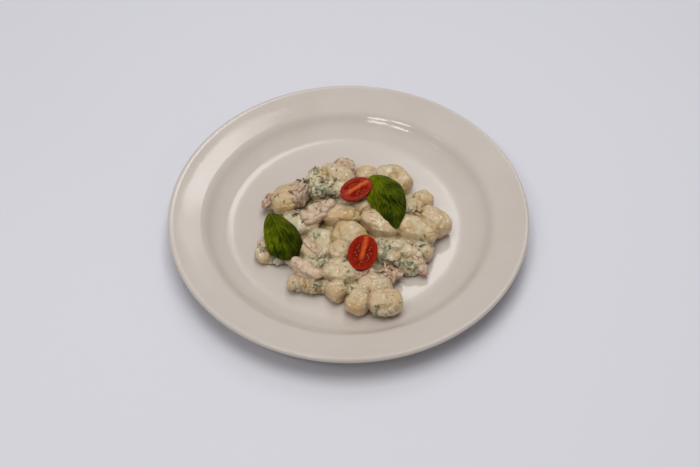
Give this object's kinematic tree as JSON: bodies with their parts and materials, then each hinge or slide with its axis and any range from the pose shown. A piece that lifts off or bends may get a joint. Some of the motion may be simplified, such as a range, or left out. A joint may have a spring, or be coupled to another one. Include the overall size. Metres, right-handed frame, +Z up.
{
  "type": "plate of gnocchi",
  "caption": "Round stoneware dinner plate with a low heap of potato dumplings in cream sauce with wilted greens and meat, topped with halved tomatoes and basil leaves.",
  "frame": {"origin": "on the plate's axis, in the plane of the foot ring it stands on", "axes": "+Z up; -Y towards the side the plate is seen from; +X to the viewer's right"},
  "size_m": [0.2698, 0.2698, 0.0318],
  "materials": {
    "plate_glaze": "glossy warm grey-white glaze",
    "gnocchi_in_sauce": "moist, cream sauce over smooth potato dough",
    "tomato_flesh": "wet cut face and glossy skin",
    "basil": "soft satin leaf with raised veins"
  },
  "bodies": {
    "root": {"plate": "plate_glaze", "gnocchi_heap": "gnocchi_in_sauce", "tomato_half_back": "tomato_flesh", "tomato_half_front": "tomato_flesh", "basil_leaf_left": "basil", "basil_leaf_right": "basil"}
  },
  "joints": []
}
